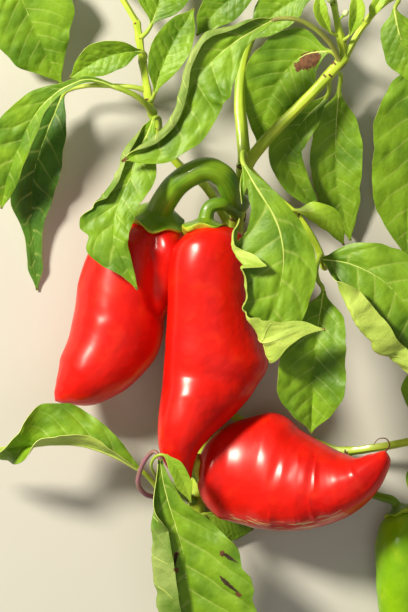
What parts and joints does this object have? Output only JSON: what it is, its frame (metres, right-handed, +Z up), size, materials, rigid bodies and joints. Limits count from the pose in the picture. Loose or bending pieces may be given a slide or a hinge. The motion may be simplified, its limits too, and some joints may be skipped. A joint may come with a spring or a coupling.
{
  "type": "cut fruiting branch of a chilli pepper plant",
  "caption": "Cut branch of a chilli pepper plant lying down: forked green stem, conical ripe red fruits, an unripe green fruit and curled pointed leaves.",
  "frame": {"origin": "middle of the branch's box, on the floor that it lies on", "axes": "+Y along the branch from its cut end to its growing tip, +Z up off the floor towards the side that faces the viewer, +X to the right seen from above"},
  "size_m": [0.1959, 0.3117, 0.0725],
  "materials": {
    "green_stem": "smooth ribbed green stem, slightly waxy",
    "fruit_stalk": "smooth thick green fruit stalk and calyx",
    "ripe_fruit": "glossy waxy ripe red skin",
    "unripe_fruit": "glossy waxy unripe green skin",
    "leaf": "thin quilted green leaf, satin above and pale matte below",
    "young_leaf": "thin bright green young leaf"
  },
  "bodies": {
    "root": {"main_stem": "green_stem", "upper_stem": "green_stem", "mid_stem": "green_stem", "tip_shoot": "green_stem", "right_shoot": "green_stem", "left_shoot": "green_stem", "top_left_twig": "green_stem", "right_twig": "green_stem", "side_stem": "green_stem", "low_twig": "green_stem", "stalk_left": "fruit_stalk", "stalk_middle": "fruit_stalk", "stalk_lower": "fruit_stalk", "stalk_green": "fruit_stalk", "fruit_left": "ripe_fruit", "fruit_middle": "ripe_fruit", "fruit_lower": "ripe_fruit", "fruit_green": "unripe_fruit", "leaf_front_arching": "leaf", "leaf_left_hanging": "leaf", "leaf_low_left": "leaf", "leaf_low_front": "leaf", "leaf_under_fruit": "leaf", "leaf_front_curled": "leaf", "leaf_right": "leaf", "leaf_behind_fruits": "leaf", "leaf_behind_crown": "leaf", "leaf_crown_left": "leaf", "leaf_inner_curved": "leaf", "leaf_inner_long": "leaf", "leaf_far_right": "leaf", "leaf_shaded_right": "leaf", "leaf_top_left": "leaf", "leaf_left_low": "leaf", "leaf_left_arching": "leaf", "leaf_left_pointing": "leaf", "leaf_left_upright": "leaf", "leaf_upper_back": "leaf", "leaf_upper_back_right": "leaf", "leaf_side_upper": "leaf", "leaf_side_lower": "leaf", "leaf_low_wing": "young_leaf", "leaf_right_small": "young_leaf", "young_leaf_right": "young_leaf", "young_leaf_left": "young_leaf", "young_leaf_end": "young_leaf", "young_leaf_front": "young_leaf", "young_leaf_side": "young_leaf"}
  },
  "joints": []
}
